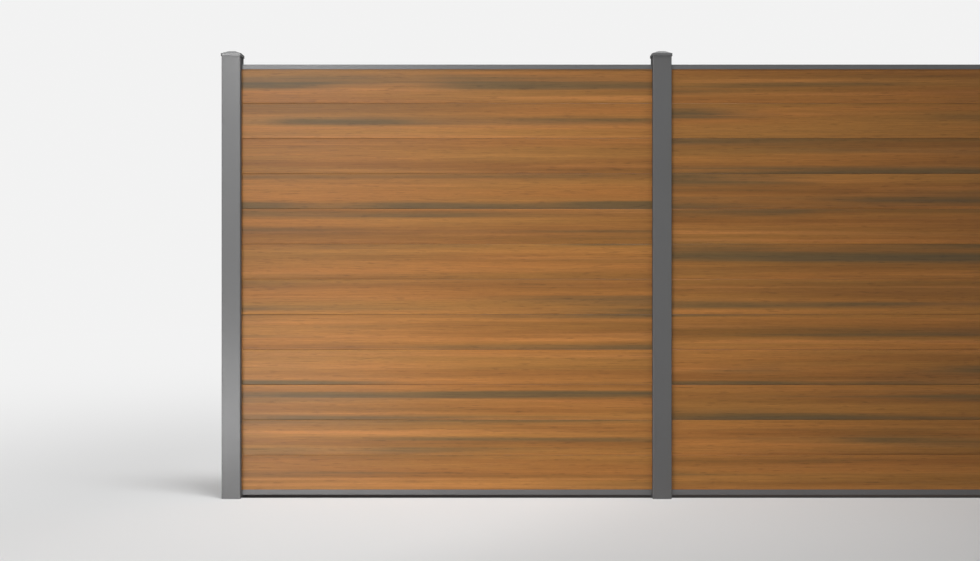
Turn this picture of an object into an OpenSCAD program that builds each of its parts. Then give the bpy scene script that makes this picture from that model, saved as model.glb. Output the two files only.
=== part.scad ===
// Composite privacy fence: hollow tongue-and-groove boards stacked between
// slotted aluminium posts, held by a rail above and a rail below.
// X runs along the fence, -Y is the front and Z is up. The origin is the
// centre of the first post's foot, at ground level.

/* [Run] */
// Whole bays in the run
bays = 3; // [1:1:6]
// Clear width between two posts
bay_clear = 1750; // [600:10:2400]
// Gap between the ground and the bottom rail
ground_gap = 13; // [6:1:60]
// Height of the posts above the top rail
post_reveal = 41; // [20:1:120]

/* [Boards] */
// Boards in one bay
board_count = 12; // [1:1:14]
// Height that one board covers
board_cover = 150; // [100:1:200]
// Thickness of a board
board_t = 20; // [16:0.5:26]
// Bevel along the long edges of a board's faces
board_bevel = 1.2; // [0.4:0.1:2]
// Height of the tongue
tongue_h = 8; // [5:0.5:10]
// Thickness of the tongue
tongue_t = 7; // [5:0.5:8]
// Wall between a board's chambers and its surface
board_wall = 4; // [3:0.5:5]
// Chambers in one board
chamber_count = 5; // [1:1:6]

/* [Rails] */
// Height of the top rail's face
top_rail_h = 20; // [18:0.5:40]
// Height of the bottom rail's face
bottom_rail_h = 23; // [18:0.5:60]
// Wall of both rails
rail_wall = 1.6; // [1.2:0.1:2.5]
// Height of the top board's face behind the top rail
top_lap = 5; // [3:0.5:8]
// Height of the bottom board's face behind the bottom rail
bottom_lap = 3; // [2:0.5:6]
// Width of the ledges inside the top rail
ledge_w = 3.5; // [2:0.5:4]
// Radius of the top rail's upper edges
top_rail_edge_r = 1; // [0.3:0.1:1.5]
// Radius of the bottom rail's lower edges
bottom_rail_edge_r = 3; // [1:0.5:5]

/* [Posts] */
// Width and depth of a post
post_w = 80; // [70:1:120]
// Wall of a post
post_wall = 2.5; // [2:0.1:4]
// Radius of a post's outer corners
post_edge_r = 3; // [1:0.5:6]
// Depth of the slots in a post's sides
slot_depth = 20; // [14:0.5:24]
// Wall around a slot
slot_wall = 2; // [1.6:0.1:3]
// Bevel at a slot's mouth
mouth_bevel = 0.8; // [0.3:0.1:1.2]
// Depth of the snap grooves in a slot's cheeks
snap_depth = 0.8; // [0.4:0.1:1]
// Width of the snap grooves
snap_w = 4; // [3:0.5:5]
// Distance from a slot's mouth to its snap grooves
snap_inset = 7; // [5:0.5:8]
// Bore radius of a post's screw ports
port_bore_r = 2.3; // [1.8:0.1:2.8]
// Wall of a screw port
port_wall = 2; // [1.5:0.1:2.5]
// Width of a screw port's mouth
port_mouth = 2.4; // [1.5:0.1:3]
// Distance of the screw ports from the post's middle, along the fence
port_x = 11; // [8:0.5:12]

/* [Caps] */
// Overhang of a cap past its post
cap_overhang = 3; // [2:0.1:6]
// Height of the skirt that grips the post's top
cap_skirt_h = 8; // [4:0.5:15]
// Height of the rim above the post's top
cap_rim_rise = 3; // [2:0.5:6]
// Radius of the rim's corners
cap_edge_r = 4; // [1:0.5:6]
// Width of the rim's flat shoulder at its corners
cap_shoulder_w = 0.4; // [0.2:0.1:3]
// Rise of the crown above the rim
cap_crown_h = 12.5; // [6:0.5:25]
// Width of the crown's flat top
cap_flat_w = 28; // [10:1:40]
// Wall over the hollow under the crown
cap_wall = 2.6; // [2:0.1:4]
// Width of the seat on the post's top, inwards from the post's face
cap_seat_w = 6; // [4:0.5:8]
// Length of the lugs below the post's top
lug_len = 20; // [10:1:35]
// Width of each wing of a lug
lug_w = 12; // [8:0.5:14]
// Thickness of a lug
lug_t = 2; // [1.5:0.1:3]

/* [Slot covers and rail seats] */
// Thickness of a slot cover's face
cover_t = 2; // [1.5:0.1:3]
// Depth of a slot cover's legs
cover_depth = 14; // [13:0.5:16]
// Thickness of a slot cover's legs
leg_t = 1.6; // [1.2:0.1:2]
// Wall of a rail seat
seat_wall = 3; // [2:0.5:4]

/* [Clearances] */
// Between two boards, shoulder to shoulder
joint_gap = 0.3; // [0.2:0.05:1]
// Between a tongue and the cheeks of its groove
tongue_gap = 0.4; // [0.2:0.05:0.8]
// Between a tongue's tip and the floor of its groove
tip_gap = 1; // [0.5:0.1:2]
// Between a board's face and the rail's inside
rail_gap = 0.4; // [0.2:0.05:0.8]
// Between a rail's face and the slot's cheek
slot_gap = 0.5; // [0.3:0.05:1]
// Between the end of a board or rail and the slot's floor
end_gap = 3; // [1:0.5:6]
// Between a cap's skirt or lugs and the post
cap_gap = 0.3; // [0.2:0.05:0.6]
// Between a slot cover and the slot's cheek
cover_gap = 0.3; // [0.2:0.05:0.6]
// Between a rail seat and the slot
seat_gap = 0.5; // [0.3:0.05:1]

/* [Hidden] */
$fn = 48;
POST_COLOR = [0.43, 0.43, 0.43];
RAIL_COLOR = [0.48, 0.48, 0.47];
BOARD_COLOR = [0.66, 0.45, 0.27];
SEAT_COLOR = [0.12, 0.12, 0.12];

posts = bays + 1;
pitch = bay_clear + post_w;
post_half = post_w / 2;

rail_t = board_t + 2 * (rail_gap + rail_wall);
slot_w = rail_t + 2 * slot_gap;
insert = slot_depth - end_gap;
infill_len = bay_clear + 2 * insert;

board_h = board_cover - joint_gap;
board_z = ground_gap + bottom_rail_h - bottom_lap;
stack_top = board_z + board_count * board_cover;
groove_depth = tongue_h + tip_gap;
groove_w = tongue_t + 2 * tongue_gap;
// Bevel that leads a tongue into its groove
tip_bevel = 1;

chamber_t = board_t - 2 * board_wall;
chamber_z = groove_depth + board_wall;
chamber_pitch = (board_h - chamber_z) / chamber_count;
chamber_h = chamber_pitch - board_wall;

top_rail_z = stack_top - top_lap;
post_h = top_rail_z + top_rail_h + post_reveal;

port_r = port_bore_r + port_wall;
port_y = post_half - post_wall - port_bore_r;

cap_half = post_half + cap_overhang;
// The crown's sharp corners stay inside the rim's round ones.
crown_half = cap_half - cap_edge_r * (1 - cos(45)) - cap_shoulder_w;
lug_out = post_half - post_wall - cap_gap;

cover_half = slot_w / 2 - cover_gap;
barb = snap_depth - cover_gap;

// How far a cutting shape runs past the surface it opens
cut = 1;

// ---- shared outlines ----

function reversed(points) = [for (i = [len(points) - 1:-1:0]) points[i]];

// Completes the upper half of an outline that is the same below y = 0.
function mirrored_below(upper) = concat(upper, [for (p = reversed(upper)) [p.x, -p.y]]);

// Completes the left half of an outline that is the same right of x = 0.
function mirrored_right(left) = concat(left, [for (p = reversed(left)) [-p.x, p.y]]);

// A square with round corners, centred.
module rounded_square(w, r) {
    square([w - 2 * r, w], center = true);
    square([w, w - 2 * r], center = true);
    for (x = [-1, 1], y = [-1, 1])
        translate([x * (w / 2 - r), y * (w / 2 - r)]) circle(r);
}

// A bar centred on x = 0 that stands on y = 0, with its lower corners round.
module round_footed_bar(w, h, r) {
    translate([-w / 2, r]) square([w, h - r]);
    translate([r - w / 2, 0]) square([w - 2 * r, h]);
    for (x = [-1, 1])
        translate([x * (w / 2 - r), r]) circle(r);
}

// A slot with round ends that stands upright on y = 0.
module upright_slot(w, h) {
    translate([-w / 2, w / 2]) square([w, h - w]);
    for (y = [w / 2, h - w / 2])
        translate([0, y]) circle(w / 2);
}

// Carries an outline in Y and Z along X.
module along_x(length) {
    rotate([90, 0, 90]) linear_extrude(length) children();
}

// Repeats a piece of the +X side on the -X side.
module both_sides() {
    children();
    mirror([1, 0, 0]) children();
}

module at_post(i) {
    translate([(i - 1) * pitch, 0, 0]) children();
}

// Puts the origin at the left end of the infill in bay k.
module at_bay(k) {
    translate([(k - 1) * pitch + post_half - insert, 0, 0]) children();
}

// ---- posts ----

// The slot in the +X side, with its bevelled mouth and its snap grooves.
module slot_outline() {
    floor_x = post_half - slot_depth;
    groove_out = post_half - snap_inset;
    groove_in = groove_out - snap_w;
    half = slot_w / 2;
    upper = [
        [floor_x, half],
        [groove_in, half],
        [groove_in + snap_depth, half + snap_depth],
        [groove_out - snap_depth, half + snap_depth],
        [groove_out, half],
        [post_half - mouth_bevel, half],
        [post_half, half + mouth_bevel],
        [post_half + cut, half + mouth_bevel]
    ];
    polygon(mirrored_below(upper));
}

// The wall that boxes in the slot of the +X side.
module slot_box() {
    depth = slot_depth + slot_wall;
    width = slot_w + 2 * slot_wall;
    translate([post_half - depth, -width / 2]) square([depth, width]);
}

// Places a screw port's shape, drawn with its mouth towards -Y, in each corner cell.
module at_ports() {
    for (x = [-1, 1], a = [0, 180])
        rotate(a) translate([x * port_x, port_y]) children();
}

module post_outline() {
    difference() {
        rounded_square(post_w, post_edge_r);
        difference() {
            square(post_w - 2 * post_wall, center = true);
            both_sides() slot_box();
            at_ports() circle(port_r);
        }
        both_sides() slot_outline();
        at_ports() {
            circle(port_bore_r);
            translate([-port_mouth / 2, -port_r - cut]) square([port_mouth, port_r + cut]);
        }
    }
}

module post(i) {
    color(POST_COLOR) at_post(i) linear_extrude(post_h) post_outline();
}

// ---- post caps ----

// The crown's section: a flat top between two slopes that fall to the edge.
module crown_outline(half, rise, flat_w) {
    polygon([[-half, 0], [half, 0], [flat_w / 2, rise], [-flat_w / 2, rise]]);
}

// Two crossed sections leave the four slopes of the crown.
module crown(half, rise, flat_w) {
    span = 2 * (half + cut);
    intersection() {
        translate([-span / 2, 0, 0]) along_x(span) crown_outline(half, rise, flat_w);
        rotate([0, 0, 90]) translate([-span / 2, 0, 0])
            along_x(span) crown_outline(half, rise, flat_w);
    }
}

// A lug with two wings that fits one inner corner of the post.
module lug() {
    translate([lug_out - lug_w, lug_out - lug_t]) square([lug_w, lug_t]);
    translate([lug_out - lug_t, lug_out - lug_w]) square([lug_t, lug_w]);
}

module post_cap(i) {
    hollow_half = post_half - cap_seat_w;
    hollow_rise = cap_rim_rise + cap_crown_h - cap_wall;
    color(POST_COLOR) at_post(i) translate([0, 0, post_h]) {
        difference() {
            union() {
                translate([0, 0, cap_rim_rise]) crown(crown_half, cap_crown_h, cap_flat_w);
                translate([0, 0, -cap_skirt_h]) linear_extrude(cap_skirt_h + cap_rim_rise)
                    rounded_square(2 * cap_half, cap_edge_r);
            }
            translate([0, 0, -cap_skirt_h - cut])
                linear_extrude(cap_skirt_h + cut)
                    rounded_square(post_w + 2 * cap_gap, post_edge_r + cap_gap);
            crown(hollow_half, hollow_rise, cap_flat_w - 2 * cap_wall);
        }
        for (a = [0:90:270])
            rotate([0, 0, a]) translate([0, 0, -lug_len])
                linear_extrude(lug_len + cut) lug();
    }
}

// ---- boards ----

module board_outline() {
    face = board_t / 2;
    tongue = tongue_t / 2;
    groove = groove_w / 2;
    tip = board_h + tongue_h;
    front = [
        [0, groove_depth],
        [-groove, groove_depth],
        [-groove, 0],
        [board_bevel - face, 0],
        [-face, board_bevel],
        [-face, board_h - board_bevel],
        [board_bevel - face, board_h],
        [-tongue, board_h],
        [-tongue, tip - tip_bevel],
        [tip_bevel - tongue, tip],
        [0, tip]
    ];
    difference() {
        polygon(mirrored_right(front));
        for (c = [0:chamber_count - 1])
            translate([0, chamber_z + c * chamber_pitch]) upright_slot(chamber_t, chamber_h);
    }
}

module boards(k) {
    color(BOARD_COLOR) at_bay(k)
        for (b = [0:board_count - 1])
            translate([0, 0, board_z + b * board_cover]) along_x(infill_len) board_outline();
}

// ---- rails ----

// A channel that opens downwards, with two ledges that rest on the top board's shoulders.
module top_rail_outline() {
    inside = rail_t - 2 * rail_wall;
    ledge_z = top_lap - joint_gap;
    difference() {
        translate([0, top_rail_h]) mirror([0, 1])
            round_footed_bar(rail_t, top_rail_h, top_rail_edge_r);
        translate([-inside / 2, -cut]) square([inside, top_rail_h - rail_wall + cut]);
    }
    for (x = [-1, 1])
        translate([x * (inside - ledge_w) / 2, ledge_z + rail_wall / 2])
            square([ledge_w + rail_wall / 2, rail_wall], center = true);
}

module top_rail(k) {
    color(RAIL_COLOR) at_bay(k) translate([0, 0, top_rail_z])
        along_x(infill_len) top_rail_outline();
}

// A closed tube whose side walls run up past its top, as lips round the bottom board.
module bottom_rail_outline() {
    inside = rail_t - 2 * rail_wall;
    tube_h = bottom_rail_h - bottom_lap;
    inner_r = max(bottom_rail_edge_r - rail_wall, 0.2);
    difference() {
        round_footed_bar(rail_t, bottom_rail_h, bottom_rail_edge_r);
        translate([0, rail_wall])
            round_footed_bar(inside, tube_h - 2 * rail_wall, inner_r);
        translate([-inside / 2, tube_h]) square([inside, bottom_lap + cut]);
    }
}

module bottom_rail(k) {
    color(RAIL_COLOR) at_bay(k) translate([0, 0, ground_gap])
        along_x(infill_len) bottom_rail_outline();
}

// ---- rail seats ----

// A moulded block, hollow from below, that stands in the slot under the rail's end.
module rail_seat() {
    length = slot_depth - 2 * seat_gap;
    width = slot_w - 2 * seat_gap;
    translate([seat_gap - end_gap, -width / 2, 0])
        difference() {
            cube([length, width, ground_gap]);
            translate([seat_wall, seat_wall, -cut])
                cube([length - 2 * seat_wall, width - 2 * seat_wall, ground_gap - seat_wall + cut]);
        }
}

module rail_seats(k) {
    color(SEAT_COLOR) at_bay(k) {
        rail_seat();
        translate([infill_len, 0, 0]) mirror([1, 0, 0]) rail_seat();
    }
}

// ---- slot covers ----

// A strip flush with the +X side of a post, with two barbed legs in the slot.
module slot_cover_outline() {
    inner = cover_half - leg_t;
    barb_in = post_half - snap_inset - snap_w + cover_gap;
    barb_out = post_half - snap_inset - snap_depth;
    upper = [
        [post_half - cover_t, inner],
        [post_half - cover_depth, inner],
        [post_half - cover_depth, cover_half],
        [barb_in, cover_half],
        [barb_out - barb, cover_half + barb],
        [barb_out, cover_half + barb],
        [barb_out, cover_half],
        [post_half, cover_half]
    ];
    polygon(mirrored_below(upper));
}

module slot_cover() {
    color(POST_COLOR) linear_extrude(post_h) slot_cover_outline();
}

module left_slot_cover() {
    at_post(1) mirror([1, 0, 0]) slot_cover();
}

module right_slot_cover() {
    at_post(posts) slot_cover();
}

// ---- the fence ----

for (i = [1:posts]) {
    post(i);
    post_cap(i);
}
for (k = [1:bays]) {
    boards(k);
    top_rail(k);
    bottom_rail(k);
    rail_seats(k);
}
left_slot_cover();
right_slot_cover();
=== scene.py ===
"""The looks of a composite privacy fence: streaked boards, powder coated posts, rails and caps.

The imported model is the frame. The boards are made again here, each as a piece of its own, and
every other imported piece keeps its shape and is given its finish. Lengths are in metres.
"""

import logging
from dataclasses import dataclass, field
from enum import Enum

import bpy
import numpy as np
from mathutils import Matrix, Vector


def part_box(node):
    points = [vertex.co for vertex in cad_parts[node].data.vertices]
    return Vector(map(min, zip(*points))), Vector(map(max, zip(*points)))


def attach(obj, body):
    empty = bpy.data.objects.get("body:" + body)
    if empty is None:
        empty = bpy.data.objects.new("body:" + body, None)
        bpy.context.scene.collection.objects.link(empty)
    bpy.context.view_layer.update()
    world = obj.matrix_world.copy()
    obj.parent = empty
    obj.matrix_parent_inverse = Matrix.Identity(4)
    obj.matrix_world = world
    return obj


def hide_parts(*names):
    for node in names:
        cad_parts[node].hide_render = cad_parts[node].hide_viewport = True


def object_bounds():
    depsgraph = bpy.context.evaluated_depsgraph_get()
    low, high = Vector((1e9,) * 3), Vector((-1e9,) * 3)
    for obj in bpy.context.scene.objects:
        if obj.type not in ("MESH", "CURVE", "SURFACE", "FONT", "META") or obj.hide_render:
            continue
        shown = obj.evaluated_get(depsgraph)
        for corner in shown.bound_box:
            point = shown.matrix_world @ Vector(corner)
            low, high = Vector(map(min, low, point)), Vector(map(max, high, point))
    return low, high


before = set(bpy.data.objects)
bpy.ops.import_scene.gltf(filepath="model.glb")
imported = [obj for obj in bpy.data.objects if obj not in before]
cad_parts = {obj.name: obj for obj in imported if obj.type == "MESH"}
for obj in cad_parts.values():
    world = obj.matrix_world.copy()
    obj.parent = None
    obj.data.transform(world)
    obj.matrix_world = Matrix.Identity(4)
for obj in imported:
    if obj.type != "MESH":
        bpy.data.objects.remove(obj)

LOG = logging.getLogger("fence")
MM = 0.001
CAD_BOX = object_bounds()
Colour = tuple[float, float, float]
Place = tuple[float, float, float]


class Draw(Enum):
    """The way a coated part was drawn through its die, as the stretch of the lines this leaves."""

    ALONG_X = (1.5, 420.0, 420.0)
    ALONG_Z = (420.0, 420.0, 1.5)
    CAST = (160.0, 160.0, 160.0)


class Ray(Enum):
    """Rays that look at a surface and don't gather light from it."""

    CAMERA = "Is Camera Ray"
    GLOSSY = "Is Glossy Ray"
    THROUGH = "Is Transmission Ray"


# ---------------------------------------------------------------- node drawing


class NodePen:
    """Draws the nodes of one tree, a call to a node."""

    def __init__(self, tree: bpy.types.NodeTree) -> None:
        """Clears the tree and keeps it.

        Args:
            tree: The node tree of a material or of the world.
        """
        self.tree = tree
        self.tree.nodes.clear()

    def add(self, kind: str, inputs: dict[str | int, object] | None = None,
            **settings: object) -> bpy.types.Node:
        """Adds a node and fills its inputs.

        Args:
            kind: Blender's name for the node's type.
            inputs: A value or a socket for each input, by name or number.
            settings: The node's own settings.

        Returns:
            The new node.
        """
        node = self.tree.nodes.new(kind)
        for name, value in settings.items():
            setattr(node, name, value)
        for key, value in (inputs or {}).items():
            if isinstance(value, bpy.types.NodeSocket):
                self.tree.links.new(value, node.inputs[key])
            else:
                node.inputs[key].default_value = value
        return node

    def calc(self, operation: str, *values: object) -> bpy.types.NodeSocket:
        """One sum on numbers.

        Args:
            operation: The sum's name, such as ADD or FLOOR.
            values: Its numbers or sockets, in order.

        Returns:
            The socket that holds the answer.
        """
        node = self.add("ShaderNodeMath", dict(enumerate(values)), operation=operation)
        return node.outputs[0]

    def step(self, value: bpy.types.NodeSocket, start: float, end: float,
             low: float = 0.0, high: float = 1.0) -> bpy.types.NodeSocket:
        """A smooth step: low up to start, high from end on, and 3t squared less 2t cubed between.

        Args:
            value: What is looked at.
            start: Where the step starts.
            end: Where it ends.
            low: What it gives before.
            high: What it gives after.

        Returns:
            The socket that holds the step.
        """
        inputs = {"Value": value, "From Min": start, "From Max": end, "To Min": low, "To Max": high}
        node = self.add("ShaderNodeMapRange", inputs, interpolation_type="SMOOTHSTEP")
        return node.outputs["Result"]

    def stretched(self, place: bpy.types.NodeSocket, stretch: Place,
                  shift: Place = (0.0, 0.0, 0.0)) -> bpy.types.NodeSocket:
        """A place times a stretch, plus a shift, axis by axis.

        Args:
            place: The place's socket.
            stretch: The factor on each axis.
            shift: What is added on each axis.

        Returns:
            The socket that holds the new place.
        """
        inputs = {0: place, 1: stretch, 2: shift}
        node = self.add("ShaderNodeVectorMath", inputs, operation="MULTIPLY_ADD")
        return node.outputs[0]

    def noise(self, place: bpy.types.NodeSocket, detail: float = 2.0,
              rough: float = 0.5) -> bpy.types.NodeSocket:
        """Smooth noise about one half, one bump to each unit of place.

        Args:
            place: Where the noise is read.
            detail: How many finer layers are added.
            rough: The share of each finer layer.

        Returns:
            The noise's socket.
        """
        inputs = {"Vector": place, "Scale": 1.0, "Detail": detail, "Roughness": rough}
        return self.add("ShaderNodeTexNoise", inputs).outputs[0]

    def mix(self, share: object, first: object, second: object,
            blend: str = "MIX") -> bpy.types.NodeSocket:
        """Mixes two colours.

        Args:
            share: How much of the second there is.
            first: The first colour or its socket.
            second: The second colour or its socket.
            blend: How they are mixed.

        Returns:
            The mixed colour's socket.
        """
        # The node has a set of sockets for each kind of data: 6 and 7 in and 2 out are colours.
        inputs = {0: share, 6: first, 7: second}
        node = self.add("ShaderNodeMix", inputs, data_type="RGBA", blend_type=blend)
        return node.outputs[2]

    def object_place(self) -> bpy.types.NodeSocket:
        """The place on the piece, in metres."""
        return self.add("ShaderNodeTexCoord").outputs["Object"]

    def looking(self) -> bpy.types.NodeSocket:
        """One for a ray that looks, and nought for one that gathers light."""
        path = self.add("ShaderNodeLightPath")
        camera, glossy, through = (path.outputs[ray.value] for ray in Ray)
        return self.calc("MAXIMUM", camera, self.calc("MAXIMUM", glossy, through))


def fresh_material(name: str) -> tuple[bpy.types.Material, NodePen]:
    """Makes an empty material.

    Args:
        name: The material's name.

    Returns:
        The material, and the pen that draws its nodes.
    """
    material = bpy.data.materials.new(name)
    material.use_nodes = True
    return material, NodePen(material.node_tree)


def rgba(colour: Colour) -> tuple[float, float, float, float]:
    """The colour with full alpha."""
    return (*colour, 1.0)


# ---------------------------------------------------------------- finishes


@dataclass(frozen=True)
class PowderCoat:
    """Baked powder coat with a fine fleck, over drawn or cast aluminium."""

    name: str
    draw: Draw
    colour: Colour = (0.078, 0.0783, 0.0795)
    roughness: float = 0.34
    rough_spread: float = 0.03
    shine: float = 0.86
    dulled: float = 0.66
    low_from: float = 0.62
    low_to: float = 0.78
    fleck: float = 0.16
    flecks_per_metre: float = 1400.0
    chalk: float = 0.25
    chalk_share: float = 0.25
    clouds_per_metre: float = 2.2
    peel: float = 0.05 * MM
    peels_per_metre: float = 260.0
    line_share: float = 0.35
    grit_share: float = 0.7
    grits_per_metre: float = 900.0

    def make(self) -> bpy.types.Material:
        """Draws the coat: colour by a fleck noise, gloss by cloudy patches, bump by lines, peel and grit.

        The coat's fine texture hides its own gloss from a very low angle, so it is dulled there.

        Returns:
            The material.
        """
        material, pen = fresh_material(self.name)
        place = pen.object_place()
        fleck = pen.noise(pen.stretched(place, (self.flecks_per_metre,) * 3), detail=1.0)
        cloud = pen.noise(pen.stretched(place, (self.clouds_per_metre,) * 3))
        lines = pen.noise(pen.stretched(place, self.draw.value))
        peel = pen.noise(pen.stretched(place, (self.peels_per_metre,) * 3), detail=1.0)
        grit = pen.noise(pen.stretched(place, (self.grits_per_metre,) * 3))
        dark = rgba(tuple(c * (1 - self.fleck) for c in self.colour))
        light = rgba(tuple(c * (1 + self.fleck) for c in self.colour))
        base = pen.mix(pen.step(fleck, 0.3, 0.7), dark, light)
        pale = rgba(tuple(c * (1 + self.chalk) for c in self.colour))
        base = pen.mix(pen.step(cloud, 0.3, 0.7, 0.0, self.chalk_share), base, pale)
        facing = pen.add("ShaderNodeLayerWeight", {"Blend": 0.5}).outputs["Facing"]
        low = pen.step(facing, self.low_from, self.low_to, 0.0, self.dulled)
        smooth, coarse = self.roughness - self.rough_spread, self.roughness + self.rough_spread
        rough = pen.calc("ADD", low, pen.step(cloud, 0.25, 0.75, smooth, coarse))
        height = pen.calc("ADD", pen.calc("MULTIPLY", lines, self.line_share), peel)
        height = pen.calc("ADD", height, pen.calc("MULTIPLY", grit, self.grit_share))
        bump = pen.add("ShaderNodeBump", {"Height": height, "Distance": self.peel})
        skin = pen.add("ShaderNodeBsdfPrincipled", {
            "Base Color": base, "Roughness": rough, "Specular IOR Level": self.shine,
            "Normal": bump.outputs[0]})
        pen.add("ShaderNodeOutputMaterial", {"Surface": skin.outputs[0]})
        return material


@dataclass(frozen=True)
class SeatPlastic:
    """Dull moulded plastic of the blocks that the lowest rails stand on."""

    name: str = "seat_plastic"
    colour: Colour = (0.025, 0.025, 0.027)
    worn: Colour = (0.034, 0.034, 0.036)
    roughness: float = 0.62
    clouds_per_metre: float = 30.0
    grits_per_metre: float = 1800.0
    grit: float = 0.04 * MM

    def make(self) -> bpy.types.Material:
        """Draws the plastic: a fine spark eroded texture over a slightly uneven black.

        Returns:
            The material.
        """
        material, pen = fresh_material(self.name)
        place = pen.object_place()
        grit = pen.noise(pen.stretched(place, (self.grits_per_metre,) * 3))
        cloud = pen.noise(pen.stretched(place, (self.clouds_per_metre,) * 3))
        base = pen.mix(pen.step(cloud, 0.3, 0.7), rgba(self.colour), rgba(self.worn))
        bump = pen.add("ShaderNodeBump", {"Height": grit, "Distance": self.grit})
        skin = pen.add("ShaderNodeBsdfPrincipled", {
            "Base Color": base, "Roughness": self.roughness, "Normal": bump.outputs[0]})
        pen.add("ShaderNodeOutputMaterial", {"Surface": skin.outputs[0]})
        return material


@dataclass(frozen=True)
class StreakedComposite:
    """Wood composite with tropical streaks, drawn anew on each side of each board."""

    name: str
    first_board: float
    cover: float
    pitch: float
    shade: Colour = (0.265, 0.108, 0.020)
    glow: Colour = (0.465, 0.193, 0.041)
    cool_tint: Colour = (0.97, 1.02, 1.02)
    warm_tint: Colour = (1.03, 0.985, 0.98)
    streak: Colour = (0.142, 0.088, 0.030)
    core: Colour = (0.108, 0.076, 0.036)
    ember: Colour = (0.660, 0.268, 0.072)
    streak_share: float = 0.92
    ember_share: float = 0.46
    core_share: float = 0.42
    core_outside: float = 0.25
    grain_depth: float = 0.12
    fibre_depth: float = 0.09
    pore_depth: float = 0.22
    emboss: float = 0.12 * MM
    grain_rise: float = 0.5
    fibre_rise: float = 0.5
    roughness: float = 0.37
    rough_spread: float = 0.05
    shine: float = 0.36
    board_stride: float = 7.37
    bay_stride: float = 111.1
    side_stride: float = 1031.3

    def board_seed(self, pen: NodePen, place: bpy.types.NodeSocket) -> bpy.types.NodeSocket:
        """A number of its own for each side of each board.

        The board is the whole part of height over cover, the bay the whole part of length over
        pitch, and the side the sign of depth. Each is taken times its own stride.

        Args:
            pen: The material's pen.
            place: The place on the piece.

        Returns:
            The number's socket.
        """
        parts = pen.add("ShaderNodeSeparateXYZ", {0: place}).outputs
        height = pen.calc("DIVIDE", pen.calc("SUBTRACT", parts[2], self.first_board), self.cover)
        board = pen.calc("MULTIPLY", pen.calc("FLOOR", height), self.board_stride)
        bay = pen.calc("FLOOR", pen.calc("DIVIDE", parts[0], self.pitch))
        bay = pen.calc("MULTIPLY", bay, self.bay_stride)
        side = pen.calc("MULTIPLY", pen.calc("SIGN", parts[1]), self.side_stride)
        return pen.calc("ADD", board, pen.calc("ADD", bay, side))

    @staticmethod
    def layer(pen: NodePen, own: bpy.types.NodeSocket, along: float, up: float, shift: float = 0.0,
              detail: float = 2.0, rough: float = 0.5) -> bpy.types.NodeSocket:
        """One noise of the composite, pulled long down the board.

        Args:
            pen: The material's pen.
            own: Length, the board's own number, and height.
            along: Bumps to the metre down the board.
            up: Bumps to the metre across it.
            shift: What is added to the board's number, so that no two layers are alike.
            detail: How many finer layers are added.
            rough: The share of each finer layer.

        Returns:
            The noise's socket.
        """
        return pen.noise(pen.stretched(own, (along, 1.0, up), (0.0, shift, 0.0)), detail, rough)

    def make(self) -> bpy.types.Material:
        """Draws the composite from noises that are pulled long down the board.

        A ground between two browns gets a tint, warm flames, dark streaks and darker threads, and
        is then shaded by grain, fibres and pores, which also raise and sink the surface.

        Returns:
            The material.
        """
        material, pen = fresh_material(self.name)
        place = pen.object_place()
        parts = pen.add("ShaderNodeSeparateXYZ", {0: place}).outputs
        seed = self.board_seed(pen, place)
        own = pen.add("ShaderNodeCombineXYZ", {0: parts[0], 1: seed, 2: parts[2]}).outputs[0]

        tone = self.layer(pen, own, 0.30, 18.0, detail=3.0)
        hue = self.layer(pen, own, 0.60, 16.0, 203.9)
        band = self.layer(pen, own, 0.24, 17.0, 301.7, rough=0.40)
        reach = self.layer(pen, own, 0.95, 8.0, 409.3, detail=1.0)
        thread = self.layer(pen, own, 0.55, 88.0, 607.1)
        flame = self.layer(pen, own, 0.40, 34.0, 911.9)
        grain = self.layer(pen, own, 6.0, 300.0, 53.3, detail=3.0)
        dash = self.layer(pen, own, 15.0, 190.0, 77.7, detail=1.0)
        fibre = self.layer(pen, own, 45.0, 1300.0, 131.3)

        base = pen.mix(pen.step(tone, 0.27, 0.73), rgba(self.shade), rgba(self.glow))
        tint = pen.mix(pen.step(hue, 0.34, 0.66), rgba(self.cool_tint), rgba(self.warm_tint))
        base = pen.mix(1.0, base, tint, "MULTIPLY")
        base = pen.mix(pen.step(flame, 0.51, 0.76, 0.0, self.ember_share), base, rgba(self.ember))
        dark = pen.calc("MULTIPLY", pen.step(band, 0.49, 0.66), pen.step(reach, 0.30, 0.56))
        base = pen.mix(pen.calc("MULTIPLY", dark, self.streak_share), base, rgba(self.streak))
        lines = pen.step(thread, 0.50, 0.72, 0.0, self.core_share)
        core = pen.calc("MULTIPLY", lines, pen.calc("ADD", dark, self.core_outside))
        base = pen.mix(core, base, rgba(self.core))
        fine = pen.step(grain, 0.25, 0.75, 1.0 - self.grain_depth, 1.0 + self.grain_depth)
        pores = pen.step(dash, 0.60, 0.74, 1.0, 1.0 - self.pore_depth)
        hair = pen.step(fibre, 0.25, 0.75, 1.0 - self.fibre_depth, 1.0 + self.fibre_depth)
        depth = pen.calc("MULTIPLY", pen.calc("MULTIPLY", fine, hair), pores)
        base = pen.add("ShaderNodeVectorMath", {0: base, 3: depth}, operation="SCALE").outputs[0]

        height = pen.calc("SUBTRACT", pen.calc("MULTIPLY", grain, self.grain_rise),
                          pen.step(dash, 0.58, 0.72))
        height = pen.calc("ADD", height, pen.calc("MULTIPLY", fibre, self.fibre_rise))
        bump = pen.add("ShaderNodeBump", {"Height": height, "Distance": self.emboss})
        smooth, coarse = self.roughness - self.rough_spread, self.roughness + self.rough_spread
        rough = pen.step(grain, 0.25, 0.75, smooth, coarse)
        skin = pen.add("ShaderNodeBsdfPrincipled", {
            "Base Color": base, "Roughness": rough, "Specular IOR Level": self.shine,
            "Normal": bump.outputs[0]})
        pen.add("ShaderNodeOutputMaterial", {"Surface": skin.outputs[0]})
        return material


# ---------------------------------------------------------------- surfaces


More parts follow.
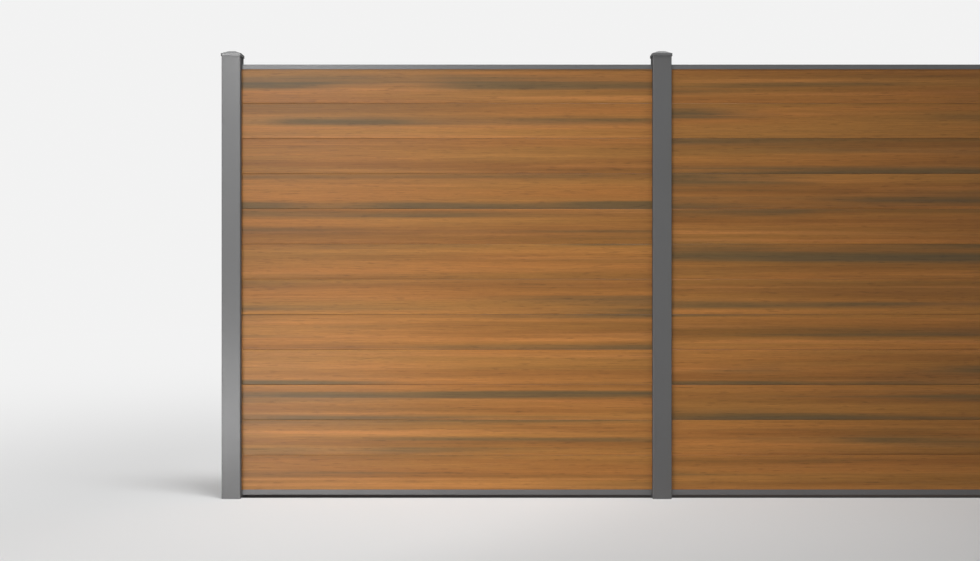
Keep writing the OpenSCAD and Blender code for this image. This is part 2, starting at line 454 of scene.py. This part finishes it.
def eased(corners: np.ndarray, radii: np.ndarray, steps: int = 5,
          lead_in: float = 1.25) -> np.ndarray:
    """Rounds the corners of a closed outline.

    At a corner whose sides part by the angle a, the arc of radius r has its middle r over sin(a/2)
    along the line that halves a, and meets the sides r over tan(a/2) away. Each arc is walked in
    even turns, and one more point stands beyond each end, which keeps the flats flat.

    Args:
        corners: The corners in order, one a row.
        radii: The radius at each, nought for a sharp corner.
        steps: Points on each arc.
        lead_in: How far from the corner the points beyond an arc stand, over the arc's reach.

    Returns:
        The outline's points in order, one a row.
    """
    back = np.roll(corners, 1, axis=0) - corners
    on = np.roll(corners, -1, axis=0) - corners
    back /= np.linalg.norm(back, axis=1, keepdims=True)
    on /= np.linalg.norm(on, axis=1, keepdims=True)
    half = np.arccos(np.clip((back * on).sum(1), -1, 1)) / 2
    reach = (radii / np.tan(half))[:, None]
    halving = back + on
    halving /= np.linalg.norm(halving, axis=1, keepdims=True)
    middle = corners + halving * (radii / np.sin(half))[:, None]
    first = corners + back * reach - middle
    last = corners + on * reach - middle
    sweep = np.pi - 2 * half
    turn = np.linspace(0, 1, steps)[None, :, None] * sweep[:, None, None]
    whole = np.sin(sweep)[:, None, None]
    arc = middle[:, None] + (first[:, None] * np.sin(sweep[:, None, None] - turn)
                             + last[:, None] * np.sin(turn)) / whole
    lead = corners + back * reach * lead_in
    tail = corners + on * reach * lead_in
    points = np.concatenate([lead[:, None], arc, tail[:, None]], axis=1)
    keep = np.ones(points.shape[:2], bool)
    keep[radii == 0, 1:] = False
    return points[keep]


def put_mesh(name: str, points: np.ndarray, faces: list[list[int]], crease: float = 32.0,
             ) -> bpy.types.Object:
    """Puts a worked out surface into a new object at the origin, smooth but for its creases.

    Args:
        name: The piece's name.
        points: Its points, one a row.
        faces: The points of each face, counter-clockwise from outside.
        crease: The angle in degrees from which an edge stays sharp.

    Returns:
        The object, linked to the scene.
    """
    mesh = bpy.data.meshes.new(name)
    mesh.from_pydata(points, [], faces)
    mesh.validate()
    mesh.polygons.foreach_set("use_smooth", np.ones(len(mesh.polygons), bool))
    mesh.set_sharp_from_angle(angle=np.radians(crease))
    mesh.update()
    piece = bpy.data.objects.new(name, mesh)
    bpy.context.scene.collection.objects.link(piece)
    return piece


def ring_walls(first: int, count: int, offset: int) -> np.ndarray:
    """The walls between a ring of points and the same ring further on.

    Args:
        first: The number of the ring's first point.
        count: How many points the ring has.
        offset: How much higher the further ring's numbers are.

    Returns:
        Four point numbers a row, a row to each wall.
    """
    here = first + np.arange(count)
    after = first + (np.arange(count) + 1) % count
    return np.stack([here, after, after + offset, here + offset], axis=1)


# ---------------------------------------------------------------- boards


@dataclass
class BoardStack:
    """The boards of one bay, each a hollow tongue and groove section carried along its length."""

    bay: int
    count: int = 12
    thickness: float = 20.0 * MM
    body: float = 149.7 * MM
    tongue_rise: float = 8.0 * MM
    tongue_half: float = 3.5 * MM
    tongue_ease: float = 1.0 * MM
    groove_half: float = 3.9 * MM
    groove_depth: float = 9.0 * MM
    edge_round: float = 1.9 * MM
    groove_round: float = 0.5 * MM
    root_round: float = 0.4 * MM
    wall: float = 4.0 * MM
    chambers: int = 5
    arc_steps: int = 7
    pieces: list[bpy.types.Object] = field(default_factory=list)

    @property
    def node(self) -> str:
        """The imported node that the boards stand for."""
        return f"bay_{self.bay}_boards"

    def cover(self, height: float) -> float:
        """The height that a board adds to the stack: all boards but the last share what it leaves."""
        return (height - self.body - self.tongue_rise) / (self.count - 1)

    def front(self) -> np.ndarray:
        """The front half of the section, from the groove's root up to the top of the tongue.

        Returns:
            Depth and height of each point, from the middle plane round and back to it.
        """
        half = self.thickness / 2
        corners = np.array([
            (0.0, self.groove_depth), (-self.groove_half, self.groove_depth),
            (-self.groove_half, 0.0), (-half, 0.0), (-half, self.body),
            (-self.tongue_half, self.body), (-self.tongue_half, self.body + self.tongue_rise),
            (0.0, self.body + self.tongue_rise)])
        radii = np.array([0.0, self.groove_round, self.groove_round, self.edge_round,
                          self.edge_round, self.root_round, self.tongue_ease, 0.0])
        return eased(corners, radii)

    def chamber(self) -> np.ndarray:
        """The front half of one chamber, from its foot up to its crown, its foot at nought.

        The half is a quarter circle at each end, whose radius is half the chamber's width.

        Returns:
            Depth and height of each point, the foot and the crown among them.
        """
        radius = self.thickness / 2 - self.wall
        room = self.body - self.groove_depth - self.wall * (self.chambers + 1)
        tall = room / self.chambers
        turn = np.linspace(0, np.pi / 2, self.arc_steps)
        foot = np.stack([-radius * np.sin(turn), radius - radius * np.cos(turn)], axis=1)
        crown = foot[::-1] * (1, -1) + (0, tall)
        return np.concatenate([foot, crown])

    def section(self) -> tuple[np.ndarray, list[np.ndarray], list[list[int]]]:
        """The whole section's points, its rings and its two end faces.

        Returns:
            Depth and height of each point, the point numbers of each closed ring, the outside
            first, and the point numbers of the front and back half of the section.
        """
        front = self.front()
        back = front[-2:0:-1] * (-1, 1)
        outline = np.concatenate([front, back])
        half = self.chamber()
        far = half[-2:0:-1] * (-1, 1)
        one = np.concatenate([half, far])
        tall = half[-1, 1]
        feet = self.groove_depth + self.wall + np.arange(self.chambers) * (tall + self.wall)
        cells = one[None] + np.stack([np.zeros_like(feet), feet], axis=1)[:, None]
        points = np.concatenate([outline, cells.reshape(-1, 2)])

        start = len(outline) + np.arange(self.chambers) * len(one)
        rings = [np.arange(len(outline))] + [s + np.arange(len(one)) for s in start]
        rise = np.arange(len(half))
        fall = np.concatenate([[len(half) - 1], np.arange(len(half), len(one)), [0]])
        near = np.concatenate([np.arange(len(front))] + [s + rise[::-1] for s in start[::-1]])
        behind = np.concatenate([[0]] + [s + fall[::-1] for s in start]
                                + [np.arange(len(front) - 1, len(outline))])
        return points, rings, [near.tolist(), behind.tolist()]

    def composite(self) -> StreakedComposite:
        """The streaked finish, laid out by this bay's boards and by the two first posts."""
        low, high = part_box(self.node)
        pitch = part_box("post_2")[0].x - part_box("post_1")[0].x
        return StreakedComposite("board_composite", low.z, self.cover(high.z - low.z), pitch)

    def build(self, finish: bpy.types.Material) -> list[bpy.types.Object]:
        """Carries the section from one end of the bay to the other, once for each board.

        Args:
            finish: What the boards wear.

        Returns:
            The boards, the lowest first.
        """
        low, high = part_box(self.node)
        section, rings, ends = self.section()
        size = len(section)
        rise = self.cover(high.z - low.z)
        outside, *inside = [ring_walls(int(ring[0]), len(ring), size) for ring in rings]
        faces = np.concatenate([outside[:, ::-1], *inside]).tolist()
        faces += ends + [[i + size for i in end[::-1]] for end in ends]
        for number in range(self.count):
            foot = low.z + number * rise
            near = np.column_stack([np.full(size, low.x), section[:, 0], section[:, 1] + foot])
            far = np.column_stack([np.full(size, high.x), section[:, 0], section[:, 1] + foot])
            name = f"bay_{self.bay}_board_{number + 1:02d}"
            board = put_mesh(name, np.concatenate([near, far]), faces)
            board.data.materials.append(finish)
            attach(board, "root")
            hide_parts(self.node)
            self.pieces.append(board)
        LOG.info("bay %d: %d boards, %d points each", self.bay, len(self.pieces), 2 * size)
        return self.pieces


# ---------------------------------------------------------------- packed metal and plastic


@dataclass
class Metalwork:
    """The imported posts, caps, rails, covers and seats, which keep their shapes."""

    posts: PowderCoat
    rails: PowderCoat
    caps: PowderCoat
    seats: SeatPlastic

    def finish_of(self, node: str) -> str | None:
        """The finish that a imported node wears, by its name.

        Args:
            node: The node's name.

        Returns:
            The finish's name, or None for a node that isn't metal or plastic.
        """
        if node.startswith("post_cap"):
            return self.caps.name
        if node.startswith("post") or node.endswith("cover"):
            return self.posts.name
        if node.endswith("rail"):
            return self.rails.name
        if node.endswith("seats"):
            return self.seats.name
        return None

    def dress(self) -> None:
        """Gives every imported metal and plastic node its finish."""
        made = {x.name: x.make() for x in (self.posts, self.rails, self.caps, self.seats)}
        for name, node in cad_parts.items():
            finish = self.finish_of(name)
            if finish is None:
                continue
            for slot in node.material_slots:
                slot.material = made[finish]
            if not node.material_slots:
                node.data.materials.append(made[finish])
            LOG.info("%s wears %s", name, finish)


# ---------------------------------------------------------------- studio


@dataclass(frozen=True)
class SoftBox:
    """A soft lamp that faces a point."""

    name: str
    place: Place
    aim: Place
    size: tuple[float, float]
    power: float
    spread: float

    def hang(self) -> None:
        """Makes the lamp and turns it to its point."""
        light = bpy.data.lights.new(self.name, "AREA")
        light.shape = "RECTANGLE"
        light.size, light.size_y = self.size
        light.energy = self.power
        light.spread = np.radians(self.spread)
        lamp = bpy.data.objects.new(self.name, light)
        lamp.location = self.place
        way = Vector(self.aim) - Vector(self.place)
        lamp.rotation_euler = way.to_track_quat("-Z", "Y").to_euler()
        bpy.context.scene.collection.objects.link(lamp)


@dataclass
class Studio:
    """The pale floor, the lamps, the surround and the camera."""

    boxes: tuple[SoftBox, ...]
    backdrop: float = 0.89
    floor: Colour = (0.80, 0.80, 0.80)
    # Painted light on the floor: a glow for looking rays, stronger at the left than at the right, falling
    # off across a slanting line.
    near_glow: float = 0.40
    painted_light_left: float = 0.80
    painted_light_right: float = 0.64
    lean_start: float = 1.3
    lean_end: float = 2.2
    lean_slope: float = 0.59
    fill: float = 0.12
    plain_low: Place = (-0.45, -1.3, 0.0)
    plain_high: Place = (3.6, 0.33, 0.0)
    fade_low: Place = (1.0, 1.47, 0.0)
    fade_high: Place = (1.0, 0.53, 0.0)
    fade_ease: float = 0.35
    # Painted shadow on the floor: its dark colour under and just behind the fence, and where it starts,
    # ends and fades.
    painted_shadow_colour: Colour = (0.16, 0.16, 0.16)
    toe_front: float = -0.02
    toe_back: float = 0.06
    toe_fade: float = 0.08
    toe_edge: float = 0.02
    toe_ends: float = 0.04
    reach: float = 60.0
    rings: int = 24
    spokes: int = 64
    lens: float = 50.0
    stand_off: float = 5.774
    aside: float = 1.099
    eye: float = 0.9272
    sensor: float = 36.0
    sight: float = 200.0

    def lay_floor(self) -> None:
        """Lays a round floor whose colour passes into the surround's far from the fence.

        The floor is a grid of rings and spokes: ring r of n lies at the reach times (r over n)
        squared, so the rings are close near the fence.
        """
        rings, spokes = self.rings, self.spokes
        out = self.reach * (np.arange(1, rings + 1) / rings) ** 2
        turn = np.linspace(0, 2 * np.pi, spokes, endpoint=False)
        middle = (CAD_BOX[0] + CAD_BOX[1]) / 2
        x = middle.x + out[:, None] * np.cos(turn)
        y = middle.y + out[:, None] * np.sin(turn)
        points = np.stack([x, y, np.zeros_like(x)], axis=2).reshape(-1, 3)
        points = np.concatenate([[(middle.x, middle.y, 0.0)], points])
        faces = np.concatenate([ring_walls(1 + spokes * r, spokes, spokes)[:, ::-1]
                                for r in range(rings - 1)]).tolist()
        first = 1 + np.arange(spokes)
        faces += np.stack([np.zeros(spokes, int), first, np.roll(first, -1)], axis=1).tolist()
        floor = put_mesh("floor", points, faces)
        floor.data.materials.append(self.floor_finish())

    def floor_finish(self) -> bpy.types.Material:
        """Paints the floor: pale, with painted light brighter to the left, a painted shadow under and
        just behind the fence, and the surround's colour far off.

        Returns:
            The material.
        """
        material, pen = fresh_material("floor")
        place = pen.object_place()
        own = pen.calc("EXPONENT", pen.calc("MULTIPLY", self.outside(pen, place), -1.0))
        far = pen.calc("SUBTRACT", 1.0, own)
        parts = pen.add("ShaderNodeSeparateXYZ", {0: place}).outputs
        across = pen.calc("SUBTRACT", parts[0], pen.calc("MULTIPLY", parts[1], self.lean_slope))
        # Painted light: the glow is stronger to the left and falls off along a slanting line.
        painted_falloff = pen.step(across, self.lean_start, self.lean_end, self.painted_light_left, self.painted_light_right)
        # Painted shadow: the floor is dark under and just behind the fence, and has no glow there.
        unshadowed_share = self.outside_painted_shadow(pen, parts)
        colour = pen.mix(unshadowed_share, rgba(self.painted_shadow_colour), rgba(self.floor))
        paint = pen.add("ShaderNodeBsdfDiffuse", {"Color": colour})
        near = pen.add("ShaderNodeEmission", {"Color": rgba((1.0,) * 3), "Strength": painted_falloff})
        surround = pen.add("ShaderNodeEmission", {"Color": rgba((self.backdrop,) * 3)})
        looking = pen.looking()
        share = pen.calc("MULTIPLY", looking, pen.calc("MULTIPLY", unshadowed_share, self.near_glow))
        lit = pen.add("ShaderNodeMixShader", {0: share, 1: paint.outputs[0], 2: near.outputs[0]})
        share = pen.calc("MULTIPLY", looking, far)
        both = pen.add("ShaderNodeMixShader", {0: share, 1: lit.outputs[0],
                                               2: surround.outputs[0]})
        pen.add("ShaderNodeOutputMaterial", {"Surface": both.outputs[0]})
        return material

    def outside(self, pen: NodePen, place: bpy.types.NodeSocket) -> bpy.types.NodeSocket:
        """How far a place lies outside the plain part of the floor, a rectangle, in fade lengths.

        Past each side it is the distance times that side's rate. The whole, eased, is the root of
        their squares' sum and the ease's square, less the ease.

        Args:
            pen: The material's pen.
            place: The place on the floor.

        Returns:
            The distance's socket.
        """
        def vector(operation: str, *values: object) -> bpy.types.NodeSocket:
            """One sum on places."""
            node = pen.add("ShaderNodeVectorMath", dict(enumerate(values)), operation=operation)
            return node.outputs["Value" if operation == "DOT_PRODUCT" else "Vector"]

        none = (0.0, 0.0, 0.0)
        below = vector("MAXIMUM", vector("SUBTRACT", self.plain_low, place), none)
        above = vector("MAXIMUM", vector("SUBTRACT", place, self.plain_high), none)
        over = vector("MULTIPLY_ADD", above, self.fade_high, vector("MULTIPLY", below, self.fade_low))
        square = pen.calc("ADD", vector("DOT_PRODUCT", over, over), self.fade_ease ** 2)
        return pen.calc("SUBTRACT", pen.calc("SQRT", square), self.fade_ease)

    def outside_painted_shadow(self, pen: NodePen, parts: bpy.types.NodeOutputs) -> bpy.types.NodeSocket:
        """Nought where the floor has a painted shadow, under and just behind the fence, and one
        elsewhere.

        Args:
            pen: The material's pen.
            parts: The place's three parts.

        Returns:
            The share's socket.
        """
        middle = (CAD_BOX[0].x + CAD_BOX[1].x) / 2
        half = (CAD_BOX[1].x - CAD_BOX[0].x) / 2
        length = pen.calc("ABSOLUTE", pen.calc("SUBTRACT", parts[0], middle))
        front = pen.step(parts[1], self.toe_front, self.toe_front + self.toe_edge)
        back = pen.step(parts[1], self.toe_back, self.toe_back + self.toe_fade, 1.0, 0.0)
        ends = pen.step(length, half - self.toe_ends, half + self.toe_edge, 1.0, 0.0)
        under = pen.calc("MULTIPLY", pen.calc("MULTIPLY", front, back), ends)
        return pen.calc("SUBTRACT", 1.0, under)

    def surround(self) -> None:
        """Gives the world its pale colour to rays that look, and a soft fill to the rest."""
        world = bpy.data.worlds.new("surround")
        bpy.context.scene.world = world
        world.use_nodes = True
        pen = NodePen(world.node_tree)
        fill = pen.add("ShaderNodeBackground", {"Color": rgba((self.fill,) * 3)})
        pale = pen.add("ShaderNodeBackground", {"Color": rgba((self.backdrop,) * 3)})
        both = pen.add("ShaderNodeMixShader", {0: pen.looking(), 1: fill.outputs[0],
                                               2: pale.outputs[0]})
        pen.add("ShaderNodeOutputWorld", {"Surface": both.outputs[0]})

    def place_camera(self) -> None:
        """Stands the camera square to the fence."""
        lens = bpy.data.cameras.new("camera")
        lens.lens = self.lens
        lens.sensor_width = self.sensor
        lens.clip_end = self.sight
        camera = bpy.data.objects.new("camera", lens)
        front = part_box("post_1")[0].y
        camera.location = (self.aside, front - self.stand_off, self.eye)
        camera.rotation_euler = (np.pi / 2, 0.0, 0.0)
        bpy.context.scene.collection.objects.link(camera)
        bpy.context.scene.camera = camera

    def set_up(self) -> None:
        """Builds the whole studio."""
        self.lay_floor()
        self.surround()
        for box in self.boxes:
            box.hang()
        self.place_camera()
        bpy.context.scene.view_settings.view_transform = "Standard"
        LOG.info("studio: %d lamps", len(self.boxes))


def main() -> None:
    """Builds the boards, dresses the metal and sets up the studio."""
    logging.basicConfig(level=logging.INFO, format="%(name)s: %(message)s")
    bays = [BoardStack(number) for number in (1, 2, 3)]
    composite = bays[0].composite().make()
    for bay in bays:
        bay.build(composite)
    posts = PowderCoat("post_coat", Draw.ALONG_Z)
    # The rails and caps wear the posts' grey made lighter as painted light: the rails' for the bright
    # floor below them, the caps' for light on their crowns from above.
    rails = PowderCoat("rail_coat", Draw.ALONG_X, (0.096, 0.0964, 0.0978))
    caps = PowderCoat("cap_coat", Draw.CAST, (0.098, 0.0984, 0.0998), roughness=0.25, shine=0.90,
                      low_from=0.765, low_to=0.80)
    Metalwork(posts, rails, caps, SeatPlastic()).dress()
    Studio((
        SoftBox("key_high", (-0.9, -6.5, 3.9), (0.9, 0.0, 1.5), (2.0, 1.2), 10.4, 54.0),
        SoftBox("key_wide", (-1.7, -7.5, 2.0), (0.9, 0.0, 1.0), (3.2, 3.5), 9.3, 64.0),
        SoftBox("kicker", (-0.8, -3.0, 0.22), (0.6, 0.0, 0.15), (2.0, 0.4), 1.8, 80.0),
        SoftBox("toe", (-0.4, -2.2, 0.15), (0.6, 0.0, 0.05), (1.8, 0.25), 2.2, 70.0),
        SoftBox("high", (2.0, -2.2, 9.0), (0.3, 0.2, 0.0), (2.4, 2.4), 50.0, 50.0),
        SoftBox("right", (7.4, -3.6, 2.6), (5.1, 0.0, 0.9), (1.4, 1.4), 3.4, 32.0),
        SoftBox("rear", (2.75, 6.5, 1.7), (2.75, 0.0, 0.9), (2.0, 1.6), 17.0, 44.0),
    )).set_up()


if __name__ == "__main__":
    main()
